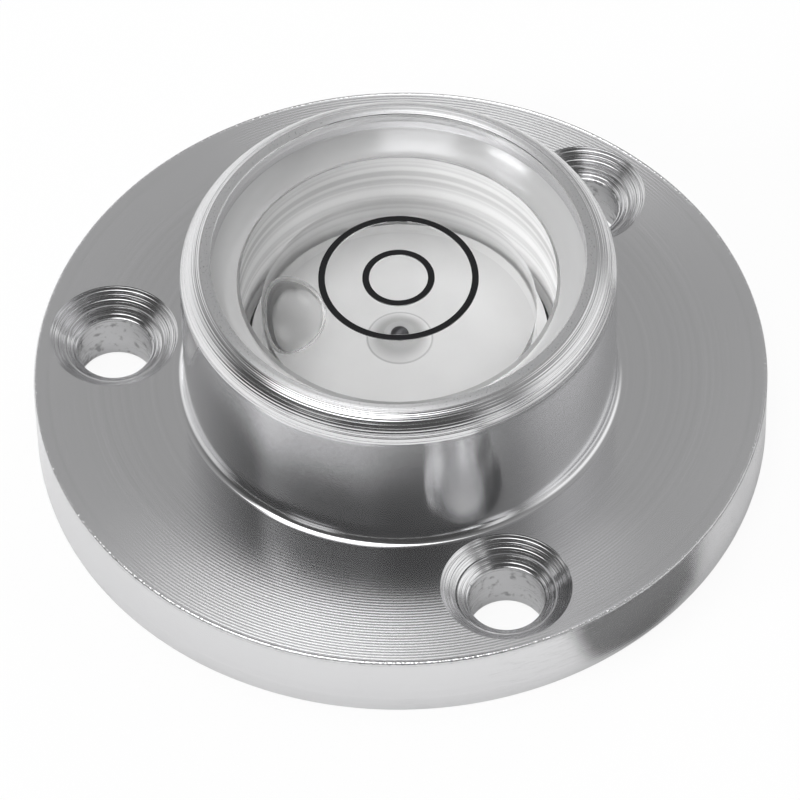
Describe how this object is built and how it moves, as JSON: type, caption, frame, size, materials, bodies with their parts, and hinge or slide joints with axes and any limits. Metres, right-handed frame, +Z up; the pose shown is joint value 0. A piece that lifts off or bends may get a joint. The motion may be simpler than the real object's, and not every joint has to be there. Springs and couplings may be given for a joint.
{
  "type": "bullseye level",
  "caption": "Round bullseye level: a clear vial with black target rings sealed into a turned metal housing with a screw-down flange.",
  "frame": {"origin": "centre of the flat underside of the flange", "axes": "+Z up along the turning axis, towards the lens; one screw hole on the -Y side"},
  "size_m": [0.06, 0.06, 0.0207],
  "materials": {
    "turned_aluminium": "turned, fine concentric tool marks, bright",
    "clear_sealant": "clear cured adhesive, slightly cloudy",
    "clear_acrylic": "polished clear",
    "ring_paint": "matt black paint",
    "spirit": "clear colourless liquid",
    "air": "air in the liquid",
    "white_base": "pale, smooth",
    "dark_steel": "polished ball",
    "filler_sealant": "grey sealant"
  },
  "bodies": {
    "root": {"housing": "turned_aluminium", "sealant_ring": "clear_sealant", "vial_cup": "clear_acrylic", "outer_ring": "ring_paint", "inner_ring": "ring_paint", "liquid": "spirit", "air_bubble": "air", "vial_base": "white_base", "filler_ball": "dark_steel", "filler_seal": "filler_sealant"}
  },
  "joints": []
}
